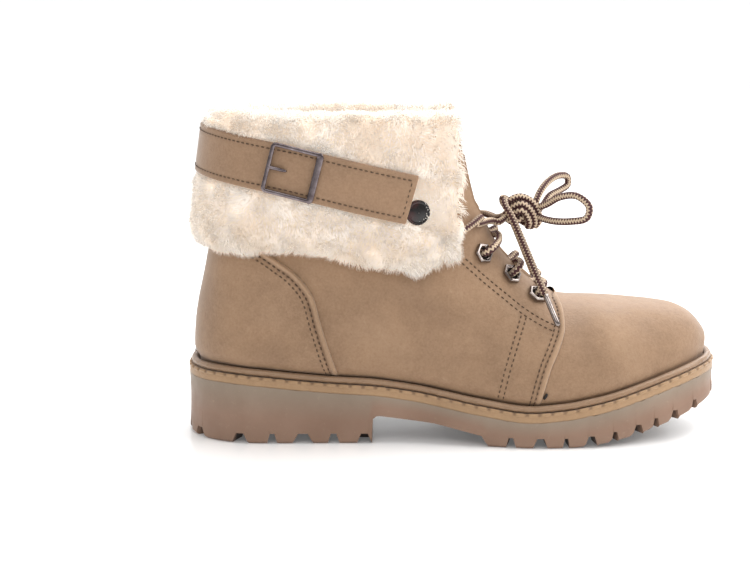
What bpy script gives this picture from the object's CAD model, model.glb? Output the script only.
# The looks of a right ankle boot with a fur cuff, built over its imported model.
# Sizes are millimetres: x from the heel to the toe, y to the wearer's left, z up from the floor.

import math

import bpy
import numpy as np
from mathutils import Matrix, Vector


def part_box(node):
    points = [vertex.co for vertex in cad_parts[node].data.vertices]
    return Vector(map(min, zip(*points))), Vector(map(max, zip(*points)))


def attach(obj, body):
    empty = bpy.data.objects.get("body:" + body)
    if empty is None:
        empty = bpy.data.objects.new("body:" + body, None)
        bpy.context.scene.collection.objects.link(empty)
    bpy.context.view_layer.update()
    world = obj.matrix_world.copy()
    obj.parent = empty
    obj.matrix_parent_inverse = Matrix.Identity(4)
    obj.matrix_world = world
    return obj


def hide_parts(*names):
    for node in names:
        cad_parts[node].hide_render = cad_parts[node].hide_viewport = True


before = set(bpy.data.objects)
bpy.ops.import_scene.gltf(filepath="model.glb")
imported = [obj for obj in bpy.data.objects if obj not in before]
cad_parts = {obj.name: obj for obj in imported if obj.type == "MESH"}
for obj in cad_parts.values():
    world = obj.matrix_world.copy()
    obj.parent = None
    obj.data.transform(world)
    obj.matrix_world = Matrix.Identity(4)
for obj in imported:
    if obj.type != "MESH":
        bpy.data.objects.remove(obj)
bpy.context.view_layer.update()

# Named sizes, the same as the part's own
SOLE_LENGTH = 272.0
HEEL_WIDTH = 80.0
WAIST_WIDTH = 76.0
BALL_WIDTH = 101.0
TOE_WIDTH = 94.0
SOLE_SHIFT = 6.0
HEEL_ROUND = 41.0
TOE_ROUND = 76.0
HEEL_LENGTH = 94.0
FORE_START = 152.0
FORE_FLAT_END = 190.0
HEEL_SEAT = 35.2
FORE_SEAT = 17.5
TOE_SEAT = 37.2
TOE_LIFT = 19.0
ARCH_HEIGHT = 14.0
ARCH_END = 5.2
LUG_DEPTH = 4.8
TREAD_INSET = 13.0
WELT_HEIGHT = 4.6
BEAD_DIAMETER = 3.4
BEAD_INSET = 1.0
GAP = 0.3
WALL = 2.0
RIM_HEIGHT = 157.0
UPPER_TUCK = 3.7
TUCK_RISE = 12.0
BACK_ROUND = 36.0
ARCH_DEPTH = 70.0
QUARTER_STEP = 1.1
COUNTER_STEP = 2.2
THROAT_LOW_WIDTH = 19.0
THROAT_TOP_WIDTH = 46.0
TONGUE_THICKNESS = 3.0
TONGUE_DROP = 8.2
TONGUE_HALF = 29.0
CUFF_FRONT = 128.5
CUFF_THICKNESS = 11.5
CUFF_TOP = 163.5
CUFF_HEM = 103.0
CUFF_DIP = 12.5
CUFF_CHANNEL = 10.4
STRAP_WIDTH = 23.5
STRAP_THICKNESS = 3.0
STRAP_BACK_HEIGHT = 147.0
STRAP_DROP = 23.0
STRAP_END = 111.5
STRAP_CLEARANCE = 1.0
BUCKLE_WIDTH = 26.0
BUCKLE_HEIGHT = 25.5
BUCKLE_BAR = 2.6
BUCKLE_THICKNESS = 2.2
BUCKLE_AT = 57.5
PRONG_LENGTH = 8.0
BUTTON_AT = 115.5
BUTTON_HEIGHT = 117.4
BUTTON_DIAMETER = 12.5
BUTTON_RISE = 3.2
EYELET_ACROSS = 9.4
EYELET_THICKNESS = 1.8
LACE_DIAMETER = 3.6
KNOT_WIDTH = 17.0
KNOT_Y = -4.0
AGLET_DIAMETER = 3.0
AGLET_LENGTH = 17.0


def through(at, value):
    """Smooth monotone curve through values at places, flat beyond its ends, for arrays."""
    at = np.asarray(at, float)
    value = np.asarray(value, float)
    chord = np.diff(value) / np.diff(at)
    slope = np.empty_like(value)
    slope[0] = chord[0]
    slope[-1] = chord[-1]
    before, after = chord[:-1], chord[1:]
    same = before * after > 0
    total = np.where(same, before + after, 1.0)
    slope[1:-1] = np.where(same, 2 * before * after / total, 0.0)

    def place(x):
        x = np.clip(np.asarray(x, float), at[0], at[-1])
        i = np.clip(np.searchsorted(at, x, side="right") - 1, 0, len(at) - 2)
        step = at[i + 1] - at[i]
        t = (x - at[i]) / step
        bend = t * t * (3 - 2 * t)
        start = t * (1 - t) ** 2 * step * slope[i]
        end = t * t * (t - 1) * step * slope[i + 1]
        return value[i] + (value[i + 1] - value[i]) * bend + start + end

    return place


def columns(rows, count):
    """One curve for each column after the first, which holds the places."""
    table = np.array(rows, float)
    return [through(table[:, 0], table[:, k + 1]) for k in range(count)]


def mix(a, b, t):
    return a + (b - a) * t


def smooth(low, high, x):
    t = np.clip((x - low) / (high - low), 0, 1)
    return t * t * (3 - 2 * t)


def rounding(q, power):
    return (1 - np.clip(q, 0, 1) ** power) ** (1 / power)


# Plan of the sole: share of its length, half width, share of the shift
SOLE_ROWS = [
    (0.0, HEEL_WIDTH * 0.485, 0),
    (0.15, HEEL_WIDTH * 0.5, 0),
    (0.3, HEEL_WIDTH * 0.49, -0.05),
    (0.42, WAIST_WIDTH * 0.5, -0.25),
    (0.55, mix(WAIST_WIDTH, BALL_WIDTH, 0.55) / 2, -0.15),
    (0.66, BALL_WIDTH * 0.5, 0.05),
    (0.76, BALL_WIDTH * 0.497, 0.3),
    (0.88, TOE_WIDTH * 0.5, 0.75),
    (1.0, TOE_WIDTH * 0.49, 1),
]
sole_half, sole_middle = columns(SOLE_ROWS, 2)
END_POWER = 2.3


def middle(x):
    return sole_middle(np.asarray(x) / SOLE_LENGTH) * SOLE_SHIFT


def outline_half(x, inset):
    back = (HEEL_ROUND - x) / (HEEL_ROUND - inset)
    front = (x - (SOLE_LENGTH - TOE_ROUND)) / (TOE_ROUND - inset)
    ends = rounding(back, END_POWER) * rounding(front, END_POWER)
    return (sole_half(x / SOLE_LENGTH) - inset) * ends


# Height of the welt's top: share of the length, shares of the heel's and the toe's rise
SEAT_ROWS = [
    (0.0, 1.0, 0),
    (0.06, 1.0, 0),
    (0.136, 0.93, 0),
    (0.206, 0.82, 0),
    (0.283, 0.72, 0),
    (0.346, 0.66, 0),
    (0.415, 0.52, 0),
    (0.485, 0.32, 0),
    (0.544, 0.16, 0),
    (0.635, 0, 0),
    (0.7, 0, 0.06),
    (0.746, 0, 0.17),
    (0.794, 0, 0.31),
    (0.86, 0, 0.55),
    (0.915, 0, 0.76),
    (0.967, 0, 0.93),
    (1.0, 0, 1.0),
]
seat_heel, seat_toe = columns(SEAT_ROWS, 2)


def seat(x):
    share = np.asarray(x) / SOLE_LENGTH
    heel = seat_heel(share) * (HEEL_SEAT - FORE_SEAT)
    return FORE_SEAT + heel + seat_toe(share) * (TOE_SEAT - FORE_SEAT)


def rubber_top(x):
    return seat(x) - WELT_HEIGHT


def tread(x):
    share = np.clip((np.asarray(x) - FORE_FLAT_END) / (SOLE_LENGTH - FORE_FLAT_END), 0, 1)
    return TOE_LIFT * share**1.7


# The last: back of the upper, then lines across the side view from the toe to the collar
BACK_ROWS = [
    (0.22, 0.0205),
    (0.29, 0.0185),
    (0.36, 0.0205),
    (0.43, 0.026),
    (0.53, 0.038),
    (0.62, 0.0485),
    (0.75, 0.06),
    (1.0, 0.08),
]
back_share = columns(BACK_ROWS, 1)[0]


def back_x(z):
    return back_share(np.asarray(z) / RIM_HEIGHT) * SOLE_LENGTH


# foot and lift where a line starts, the ridge's place where it ends, swell, and the arch's reach
LINE_ROWS = [
    (1.0, 0, 1.0, 0.285, 0.03, 1),
    (0.994, 0, 1.004, 0.314, 0.03, 1),
    (0.984, 0, 0.99, 0.354, 0.03, 1),
    (0.967, 0, 0.971, 0.384, 0.03, 1),
    (0.94, 0, 0.942, 0.408, 0.03, 1),
    (0.9, 0, 0.902, 0.42, 0.03, 1),
    (0.85, 0, 0.853, 0.428, 0.035, 1),
    (0.79, 0, 0.797, 0.435, 0.04, 1),
    (0.73, 0, 0.752, 0.439, 0.04, 1),
    (0.67, 0, 0.718, 0.444, 0.045, 1),
    (0.61, 0, 0.694, 0.457, 0.045, 1),
    (0.55, 0, 0.673, 0.482, 0.05, 0.7),
    (0.49, 0, 0.652, 0.516, 0.055, 0.35),
    (0.42, 0, 0.628, 0.555, 0.06, 0),
    (0.34, 0, 0.604, 0.598, 0.055, 0),
    (0.25, 0, 0.586, 0.645, 0.05, 0),
    (0.16, 0, 0.575, 0.69, 0.05, 0),
    (0.115, 0, 0.5705, 0.713, 0.051, 0),
    (0.08, 0, 0.567, 0.733, 0.052, 0),
    (0.05, 0, 0.5645, 0.751, 0.053, 0),
    (0.032, 0, 0.5625, 0.766, 0.054, 0),
    (0.02, 0, 0.561, 0.78, 0.054, 0),
    (0.02, 0.08, 0.557, 0.82, 0.055, 0),
    (0.02, 0.18, 0.554, 0.86, 0.056, 0),
    (0.02, 0.31, 0.552, 0.9, 0.056, 0),
    (0.02, 0.45, 0.551, 0.94, 0.056, 0),
    (0.02, 0.61, 0.55, 0.975, 0.056, 0),
    (0.02, 0.77, 0.55, 1.0, 0.056, 0),
    (0.02, 0.85, 0.55, 1.07, 0.056, 0),
]
LAST_TURN = len(LINE_ROWS) - 1
foot_at, lift_at, ridge_x_at, ridge_z_at, swell_at, own_at = columns(
    [(i, *row) for i, row in enumerate(LINE_ROWS)], 6
)
ARCH_SHARP = 2.5
ARCH_FULL = 2.25
SEAT_INSET = BEAD_INSET + BEAD_DIAMETER + GAP * 4
LAST_LENGTH = SOLE_LENGTH - SEAT_INSET


class Line:
    """Lines across the side view at an array of turns."""

    def __init__(self, turn):
        turn = np.asarray(turn, float)
        lift = lift_at(turn) * RIM_HEIGHT
        self.foot = mix(SEAT_INSET, LAST_LENGTH, np.clip((foot_at(turn) - 0.02) / 0.98, 0, 1))
        self.start_z = np.where(lift > 0, seat(SEAT_INSET) + lift, seat(self.foot))
        self.start_x = np.where(lift > 0, back_x(self.start_z), self.foot)
        self.end_x = ridge_x_at(turn) * LAST_LENGTH
        self.end_z = ridge_z_at(turn) * RIM_HEIGHT
        self.length = np.hypot(self.end_x - self.start_x, self.end_z - self.start_z)
        self.depth = mix(ARCH_DEPTH, self.length, own_at(turn))
        self.swell = swell_at(turn) * HEEL_WIDTH

    def half(self, share):
        x = mix(self.start_x, self.end_x, share)
        z = mix(self.start_z, self.end_z, share)
        t = np.clip((z - seat(x) - UPPER_TUCK) / TUCK_RISE, 0, 1)
        rise = np.sqrt(1 - (1 - t) ** 2)
        front = (self.foot - (SOLE_LENGTH - TOE_ROUND)) / (TOE_ROUND - SEAT_INSET)
        back = (BACK_ROUND - (x - back_x(z))) / BACK_ROUND
        ends = rounding(front, END_POWER) * rounding(back, END_POWER)
        inside = np.clip(1 - (1 - share) * self.length / self.depth, 0, 1)
        arch = (1 - inside**ARCH_SHARP) ** (1 / ARCH_FULL)
        return (sole_half(self.foot / SOLE_LENGTH) - SEAT_INSET + self.swell * rise) * ends * arch

    def point(self, share, side):
        x = mix(self.start_x, self.end_x, share)
        z = mix(self.start_z, self.end_z, share)
        y = middle(self.foot) * (1 - 0.3 * share) + side * self.half(share)
        return np.stack(np.broadcast_arrays(x, y, z), -1)

    def share_of_half(self, distance):
        low = np.full(np.broadcast(self.foot, distance).shape, 0.4)
        high = np.ones_like(low)
        for _ in range(26):
            share = (low + high) / 2
            wide = self.half(share) > distance
            low = np.where(wide, share, low)
            high = np.where(wide, high, share)
        return low


def place_on_last(x, z):
    """Turn and share of the line through places of the side view."""
    x, z = np.broadcast_arrays(np.asarray(x, float), np.asarray(z, float))
    low = np.zeros(x.shape)
    high = np.full(x.shape, float(LAST_TURN))
    for _ in range(30):
        turn = (low + high) / 2
        line = Line(turn)
        across = (line.end_x - line.start_x) * (z - line.start_z)
        across -= (line.end_z - line.start_z) * (x - line.start_x)
        low = np.where(across > 0, turn, low)
        high = np.where(across > 0, high, turn)
    line = Line(low)
    along = (line.end_x - line.start_x) * (x - line.start_x)
    along += (line.end_z - line.start_z) * (z - line.start_z)
    return low, line, np.clip(along / line.length**2, 0, 1)


def side_point(x, z, side):
    _, line, share = place_on_last(x, z)
    return line.point(share, side)


def unit(v):
    return v / np.maximum(np.linalg.norm(v, axis=-1, keepdims=True), 1e-9)


def side_normal(x, z, side):
    step = 0.6
    along_x = side_point(x + step, z, side) - side_point(x - step, z, side)
    along_z = side_point(x, z + step, side) - side_point(x, z - step, side)
    side = np.asarray(side, float)
    return unit(np.cross(along_x, along_z)) * -side[..., None]


def out_point(x, z, side, out):
    out = np.asarray(out, float)
    return side_point(x, z, side) + side_normal(x, z, side) * out[..., None]


def ridge_point(turn, across, out):
    """Points over the ridge: at a turn, at a distance from the middle, lifted out by out."""

    def at(t, y):
        line = Line(t)
        share = line.share_of_half(np.abs(y))
        point = line.point(share, np.where(y < 0, -1.0, 1.0))
        point[..., 1] = y + middle(line.foot) * 0.7
        return point

    turn, across, out = np.broadcast_arrays(*(np.asarray(v, float) for v in (turn, across, out)))
    along_turn = at(turn + 0.05, across) - at(turn - 0.05, across)
    along_y = at(turn, across + 0.5) - at(turn, across - 0.5)
    return at(turn, across) + unit(np.cross(along_y, along_turn)) * out[..., None]


THROAT_TURN = 10.2


def throat_half(turn):
    widen = np.clip((turn - 15) / (LAST_TURN - 15), 0, 1)
    low = rounding(np.clip(1 - (turn - THROAT_TURN) / 1.1, 0, 1), 2)
    return mix(THROAT_LOW_WIDTH, THROAT_TOP_WIDTH, widen**0.8) / 2 * low


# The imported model's own place, from its sole and its knot
def place_shift():
    sole_low, sole_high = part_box("outsole")
    knot_low, knot_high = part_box("lace_knot")
    return np.array([
        (sole_low[0] + sole_high[0]) * 500 - SOLE_LENGTH / 2,
        (knot_low[1] + knot_high[1]) * 500 - KNOT_Y,
        0.0,
    ])


SHIFT = place_shift()


def to_frame(points):
    """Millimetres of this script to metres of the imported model."""
    return (np.asarray(points, float) + SHIFT) / 1000


# Meshes
def make_mesh(name, points, faces, material, uv=None):
    mesh = bpy.data.meshes.new(name)
    faces = [list(map(int, f)) for f in faces] if not isinstance(faces, np.ndarray) else faces
    co = to_frame(points).astype(np.float32)
    mesh.vertices.add(len(co))
    mesh.vertices.foreach_set("co", co.ravel())
    if isinstance(faces, np.ndarray):
        sizes = np.full(len(faces), faces.shape[1])
        loops = faces.ravel()
    else:
        sizes = np.array([len(f) for f in faces])
        loops = np.concatenate([np.array(f) for f in faces])
    mesh.loops.add(len(loops))
    mesh.loops.foreach_set("vertex_index", loops.astype(np.int32))
    mesh.polygons.add(len(sizes))
    starts = np.concatenate([[0], np.cumsum(sizes)[:-1]]).astype(np.int32)
    mesh.polygons.foreach_set("loop_start", starts)
    mesh.polygons.foreach_set("loop_total", sizes.astype(np.int32))
    mesh.update(calc_edges=True)
    mesh.validate()
    if uv is not None:
        layer = mesh.uv_layers.new(name="UVMap")
        index = np.zeros(len(mesh.loops), np.int32)
        mesh.loops.foreach_get("vertex_index", index)
        layer.data.foreach_set("uv", np.asarray(uv, np.float32)[index].ravel())
    mesh.polygons.foreach_set("use_smooth", np.ones(len(mesh.polygons), bool))
    obj = bpy.data.objects.new(name, mesh)
    bpy.context.scene.collection.objects.link(obj)
    mesh.materials.append(material)
    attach(obj, "root")
    return obj


def grid_faces(rows, cols, close_rows=False, close_cols=False, flip=False):
    i = np.arange(rows if close_rows else rows - 1)
    j = np.arange(cols if close_cols else cols - 1)
    i, j = np.meshgrid(i, j, indexing="ij")
    ni, nj = (i + 1) % rows, (j + 1) % cols
    quad = np.stack([i * cols + j, i * cols + nj, ni * cols + nj, ni * cols + j], -1).reshape(-1, 4)
    return quad[:, ::-1].copy() if flip else quad


def combine(parts):
    """One point array and one face array from (points, faces) pairs of equally sized faces."""
    points, faces, start = [], [], 0
    for p, f in parts:
        points.append(np.asarray(p).reshape(-1, 3))
        faces.append(np.asarray(f) + start)
        start += len(points[-1])
    return np.concatenate(points), np.concatenate(faces)


def sweep(path, radius, sides):
    """A tube along a path with rounded ends. Gives points, faces and uv."""
    path = np.asarray(path, float)
    tangent = unit(np.gradient(path, axis=0))
    up = np.array([0.0, 0, 1])
    if abs(tangent[0] @ up) > 0.9:
        up = np.array([1.0, 0, 0])
    ups = []
    for t in tangent:
        up = up - t * (up @ t)
        up = up / np.linalg.norm(up)
        ups.append(up)
    ups = np.array(ups)
    across = np.cross(tangent, ups)
    turn = np.linspace(0, 2 * np.pi, sides, endpoint=False)
    radius = np.broadcast_to(np.asarray(radius, float), len(path))
    length = np.concatenate([[0], np.cumsum(np.linalg.norm(np.diff(path, axis=0), axis=1))])
    cos, sin = np.cos(turn), np.sin(turn)
    rings, v = [], []
    for k in (0.5, 0.85):
        rings.append(path[0] - tangent[0] * radius[0] * (1 - k) * 1.2 + radius[0] * k * 0.9 * (
            ups[0] * cos[:, None] + across[0] * sin[:, None]))
        v.append(0)
    for p, u, a, r, s in zip(path, ups, across, radius, length):
        rings.append(p + r * (u * cos[:, None] + a * sin[:, None]))
        v.append(s)
    for k in (0.85, 0.5):
        rings.append(path[-1] + tangent[-1] * radius[-1] * (1 - k) * 1.2 + radius[-1] * k * 0.9 * (
            ups[-1] * cos[:, None] + across[-1] * sin[:, None]))
        v.append(length[-1])
    rings = np.array(rings)
    count = len(rings)
    faces = grid_faces(count, sides, close_cols=True).tolist()
    faces.append(list(range(sides))[::-1])
    faces.append([(count - 1) * sides + j for j in range(sides)])
    u = np.tile(np.arange(sides) / sides, count)
    uv = np.stack([u, np.repeat(v, sides)], -1)
    return rings.reshape(-1, 3), faces, uv


def curve_through(points, count):
    """Centripetal curve through points, with count steps, as the part's lace paths use."""
    p = np.asarray(points, float)
    ext = np.concatenate([[2 * p[0] - p[1]], p, [2 * p[-1] - p[-2]]])
    out = []
    last = len(p) - 1
    for k in range(count + 1):
        t = k / count * last
        i = min(int(t), last - 1)
        w = t - i
        p0, p1, p2, p3 = ext[i], ext[i + 1], ext[i + 2], ext[i + 3]
        d0 = max(np.linalg.norm(p1 - p0) ** 0.5, 1e-4)
        d1 = max(np.linalg.norm(p2 - p1) ** 0.5, 1e-4)
        d2 = max(np.linalg.norm(p3 - p2) ** 0.5, 1e-4)
        m1 = ((p1 - p0) / d0 - (p2 - p0) / (d0 + d1) + (p2 - p1) / d1) * d1
        m2 = ((p2 - p1) / d1 - (p3 - p1) / (d1 + d2) + (p3 - p2) / d2) * d1
        a = 2 * p1 - 2 * p2 + m1 + m2
        b = -3 * p1 + 3 * p2 - 2 * m1 - m2
        out.append(((a * w + b) * w + m1) * w + p1)
    return np.array(out)


def noise3(points, scale, seed=0):
    """Smooth lattice noise from -1 to 1 at points, for a given grain in millimetres."""
    p = np.asarray(points, float) / scale + 37.7 + seed * 11.3
    cell = np.floor(p).astype(np.int64)
    t = p - cell
    t = t * t * (3 - 2 * t)
    total = np.zeros(p.shape[:-1])
    for dx in (0, 1):
        for dy in (0, 1):
            for dz in (0, 1):
                c = cell + (dx, dy, dz)
                h = (c[..., 0] * 73856093) ^ (c[..., 1] * 19349663) ^ (c[..., 2] * 83492791)
                h = (h ^ (h >> 13)) * 1274126177
                value = ((h ^ (h >> 16)) & 0xFFFF) / 32767.5 - 1
                weight = (t[..., 0] if dx else 1 - t[..., 0]) * (t[..., 1] if dy else 1 - t[..., 1])
                weight = weight * (t[..., 2] if dz else 1 - t[..., 2])
                total += value * weight
    return total


def mesh_normals(points, faces):
    points = np.asarray(points, float)
    normal = np.zeros_like(points)
    a, b, c = points[faces[:, 0]], points[faces[:, 1]], points[faces[:, 2]]
    n = np.cross(b - a, c - a)
    if faces.shape[1] == 4:
        d = points[faces[:, 3]]
        n = np.cross(c - a, d - b)
    for k in range(faces.shape[1]):
        np.add.at(normal, faces[:, k], n)
    return unit(normal)


def add_tone(obj, name, values):
    """A number for each vertex that a material reads by its name."""
    layer = obj.data.attributes.new(name, "FLOAT", "POINT")
    layer.data.foreach_set("value", np.asarray(values, np.float32))


# Materials
def srgb(r, g, b):
    def one(v):
        v = v / 255
        return v / 12.92 if v <= 0.04045 else ((v + 0.055) / 1.055) ** 2.4

    return (one(r), one(g), one(b), 1.0)


class Paint:
    """A material under construction, with short names for its nodes."""

    def __init__(self, name):
        self.material = bpy.data.materials.new(name)
        self.material.use_nodes = True
        self.tree = self.material.node_tree
        self.shader = next(n for n in self.tree.nodes if n.type == "BSDF_PRINCIPLED")
        self.place = self.tree.nodes.new("ShaderNodeTexCoord").outputs["Object"]

    def node(self, kind, **values):
        node = self.tree.nodes.new(kind)
        for key, value in values.items():
            if key.startswith("s_"):
                setattr(node, key[2:], value)
        return node

    def link(self, source, target):
        if isinstance(source, (int, float, tuple)):
            target.default_value = source
        else:
            self.tree.links.new(source, target)

    def set(self, name, value):
        self.link(value, self.shader.inputs[name])

    def noise(self, grain, detail=3.0, rough=0.55, warp=0.0):
        node = self.node("ShaderNodeTexNoise")
        node.inputs["Scale"].default_value = 1000 / grain
        node.inputs["Detail"].default_value = detail
        node.inputs["Roughness"].default_value = rough
        node.inputs["Distortion"].default_value = warp
        self.link(self.place, node.inputs["Vector"])
        return node.outputs["Fac"]

    def cells(self, grain):
        node = self.node("ShaderNodeTexVoronoi")
        node.inputs["Scale"].default_value = 1000 / grain
        self.link(self.place, node.inputs["Vector"])
        return node.outputs["Distance"]

    def tone(self, name):
        node = self.node("ShaderNodeAttribute")
        node.attribute_name = name
        return node.outputs["Fac"]

    def math(self, operation, a, b=0.0, c=0.0):
        node = self.node("ShaderNodeMath", s_operation=operation)
        for value, socket in zip((a, b, c), node.inputs):
            self.link(value, socket)
        return node.outputs[0]

    def span(self, value, low, high, to_low=0.0, to_high=1.0):
        node = self.node("ShaderNodeMapRange")
        for name, number in (("From Min", low), ("From Max", high), ("To Min", to_low), ("To Max", to_high)):
            node.inputs[name].default_value = number
        self.link(value, node.inputs["Value"])
        return node.outputs[0]

    def blend(self, share, a, b):
        node = self.node("ShaderNodeMix", s_data_type="RGBA")
        self.link(share, node.inputs[0])
        self.link(a, node.inputs[6])
        self.link(b, node.inputs[7])
        return node.outputs[2]

    def bump(self, height, distance, strength=1.0, over=None):
        node = self.node("ShaderNodeBump")
        node.inputs["Distance"].default_value = distance / 1000
        node.inputs["Strength"].default_value = strength
        self.link(height, node.inputs["Height"])
        if over is not None:
            self.link(over, node.inputs["Normal"])
        return node.outputs[0]

    def done(self, colour, roughness, normal, metal=0.0):
        self.set("Base Color", colour)
        self.set("Roughness", roughness)
        self.tree.links.new(normal, self.shader.inputs["Normal"])
        self.shader.inputs["Metallic"].default_value = metal
        return self.material


def leather_paint(name, low, high, tone_name=None, grain=1.0, shine=0.0):
    p = Paint(name)
    patches = p.span(p.noise(24, 5, 0.6), 0.32, 0.68)
    nap = p.span(p.noise(1.3 * grain, 4, 0.65), 0.3, 0.7)
    mottle = p.span(p.noise(4.5, 4, 0.6), 0.3, 0.7)
    colour = p.blend(p.math("MULTIPLY_ADD", patches, 0.6, p.math("MULTIPLY", mottle, 0.4)), low, high)
    colour = p.blend(p.math("MULTIPLY", nap, 0.2), colour, srgb(190, 160, 130))
    scuff = p.span(p.noise(9, 6, 0.7, warp=0.6), 0.62, 0.78, 0.0, 0.18)
    colour = p.blend(scuff, colour, srgb(198, 168, 138))
    if tone_name:
        # Above nothing it is a dark line, and below nothing a rubbed one
        dark = p.tone(tone_name)
        colour = p.blend(p.span(dark, -1, 0, 1, 0), colour, srgb(204, 172, 140))
        colour = p.blend(p.span(dark, 0, 1), colour, srgb(84, 58, 40))
    rough = p.span(patches, 0, 1, 0.62 - shine, 0.78 - shine)
    pores = p.cells(0.9 * grain)
    normal = p.bump(pores, 0.08, 0.6)
    normal = p.bump(p.noise(0.7 * grain, 4, 0.6), 0.12, 0.7, normal)
    normal = p.bump(p.noise(5, 4, 0.6), 0.3, 0.6, normal)
    p.shader.inputs["Sheen Weight"].default_value = 0.3
    p.shader.inputs["Sheen Roughness"].default_value = 0.4
    return p.done(colour, rough, normal)


quarter_paint = leather_paint("quarter_leather", srgb(126, 96, 69), srgb(152, 121, 93), "crease")
strap_paint = leather_paint("strap_leather_paint", srgb(128, 98, 72), srgb(148, 117, 90), None)


def rubber_paint():
    p = Paint("sole_rubber_paint")
    height = p.tone("height")
    patches = p.span(p.noise(22, 4), 0.3, 0.7)
    low = p.blend(patches, srgb(132, 103, 84), srgb(144, 115, 96))
    high = p.blend(patches, srgb(130, 114, 97), srgb(142, 126, 109))
    colour = p.blend(p.span(height, 0.45, 0.95), low, high)
    colour = p.blend(p.tone("hollow"), colour, srgb(46, 31, 23))
    dust = p.span(p.noise(3.2, 5, 0.7), 0.6, 0.8, 0, 0.25)
    colour = p.blend(dust, colour, srgb(186, 164, 142))
    rough = p.span(p.noise(7, 3), 0.3, 0.7, 0.42, 0.6)
    normal = p.bump(p.noise(0.7, 4), 0.035, 0.6)
    normal = p.bump(p.noise(7, 2), 0.12, 0.5, normal)
    return p.done(colour, rough, normal)


def fleece_paint(name, root, tip):
    p = Paint(name)
    patches = p.span(p.noise(26, 3), 0.35, 0.65)
    fine = p.span(p.noise(2.2, 4, 0.7), 0.3, 0.7)
    rise = p.tone("rise")
    colour = p.blend(rise, root, tip)
    colour = p.blend(p.math("MULTIPLY", patches, 0.4), colour, srgb(240, 221, 198))
    colour = p.blend(p.math("MULTIPLY", fine, 0.14), colour, srgb(226, 202, 172))
    rough = p.span(fine, 0, 1, 0.75, 0.95)
    normal = p.bump(p.noise(1.2, 4, 0.7), 0.5, 0.5)
    p.shader.inputs["Sheen Weight"].default_value = 0.15
    p.set("Emission Color", colour)
    p.shader.inputs["Emission Strength"].default_value = 0.42
    p.done(colour, rough, normal)
    # Light passes through each lock
    glow = p.node("ShaderNodeBsdfTranslucent")
    p.link(colour, glow.inputs["Color"])
    both = p.node("ShaderNodeMixShader")
    both.inputs[0].default_value = 0.5
    p.link(p.shader.outputs[0], both.inputs[1])
    p.link(glow.outputs[0], both.inputs[2])
    p.link(both.outputs[0], p.tree.nodes["Material Output"].inputs["Surface"])
    return p.material


def metal_paint(name, dark, light, low=0.18, high=0.4):
    p = Paint(name)
    wear = p.span(p.noise(6, 5, 0.6), 0.35, 0.7)
    colour = p.blend(wear, dark, light)
    rough = p.span(p.noise(4, 4), 0.3, 0.7, low, high)
    normal = p.bump(p.noise(3, 3), 0.02, 0.3)
    return p.done(colour, rough, normal, 1.0)


def thread_paint(name, low, high):
    p = Paint(name)
    twist = p.span(p.noise(0.5, 2, 0.5), 0.3, 0.7)
    colour = p.blend(twist, low, high)
    rough = p.span(p.noise(0.8, 2), 0.3, 0.7, 0.55, 0.75)
    return p.done(colour, rough, p.bump(p.noise(0.35, 2), 0.06, 0.6))


def lace_paint():
    p = Paint("lace_weave")
    uv = p.node("ShaderNodeUVMap")
    uv.uv_map = "UVMap"
    parts = p.node("ShaderNodeSeparateXYZ")
    p.link(uv.outputs[0], parts.inputs[0])
    around, along = parts.outputs[0], parts.outputs[1]
    zigzag = p.math("PINGPONG", p.math("MULTIPLY", along, 0.62), 0.5)
    place = p.math("MULTIPLY_ADD", around, 3.0, p.math("MULTIPLY", zigzag, 0.8))
    lane = p.math("ABSOLUTE", p.math("SUBTRACT", p.math("FRACT", place), 0.5))
    stripe = p.span(lane, 0.27, 0.31, 1.0, 0.0)
    fray = p.span(p.noise(0.6, 3), 0.3, 0.75)
    beige = p.blend(fray, srgb(186, 162, 134), srgb(222, 202, 176))
    wine = p.blend(fray, srgb(46, 18, 22), srgb(84, 42, 42))
    colour = p.blend(stripe, beige, wine)
    rib = p.math("PINGPONG", p.math("MULTIPLY_ADD", along, 1.7, p.math("MULTIPLY", around, 6.0)), 0.5)
    rib_back = p.math("PINGPONG", p.math("MULTIPLY_ADD", along, 1.7, p.math("MULTIPLY", around, -6.0)), 0.5)
    weave = p.math("MAXIMUM", rib, rib_back)
    normal = p.bump(weave, 0.35, 0.7)
    normal = p.bump(p.noise(0.3, 3), 0.08, 0.5, normal)
    rough = p.span(fray, 0, 1, 0.7, 0.9)
    return p.done(colour, rough, normal)


def floor_paint():
    p = Paint("white_floor")
    colour = p.blend(p.span(p.noise(300, 2), 0.3, 0.7), srgb(252, 251, 250), srgb(255, 255, 255))
    rough = p.span(p.noise(400, 2), 0.3, 0.7, 0.2, 0.24)
    p.set("Emission Color", colour)
    p.shader.inputs["Emission Strength"].default_value = 0.1
    return p.done(colour, rough, p.bump(p.noise(300, 1), 0.02, 0.1))


def button_paint():
    p = Paint("dark_button")
    glow = p.span(p.noise(9, 2, 0.4), 0.5, 0.8, 0.0, 0.8)
    colour = p.blend(glow, srgb(14, 9, 9), srgb(78, 22, 18))
    rough = p.span(p.noise(5, 3), 0.3, 0.7, 0.2, 0.34)
    return p.done(colour, rough, p.bump(p.noise(4, 3), 0.03, 0.3))


rubber = rubber_paint()
fur_paint = fleece_paint("cuff_fur", srgb(244, 231, 214), srgb(255, 253, 250))
lining_paint = fleece_paint("lining_fleece", srgb(228, 208, 180), srgb(252, 244, 230))
metal_dark = metal_paint("gunmetal", srgb(86, 76, 78), srgb(136, 126, 128), 0.06, 0.16)
metal_tip = metal_paint("tip_metal", srgb(122, 112, 108), srgb(168, 158, 152), 0.14, 0.28)
dark_thread = thread_paint("dark_thread", srgb(58, 40, 26), srgb(98, 74, 50))
light_thread = thread_paint("light_thread", srgb(196, 166, 128), srgb(222, 196, 160))
lace_material = lace_paint()
hole_paint = thread_paint("hole_shadow", srgb(14, 10, 8), srgb(26, 18, 14))


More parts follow.
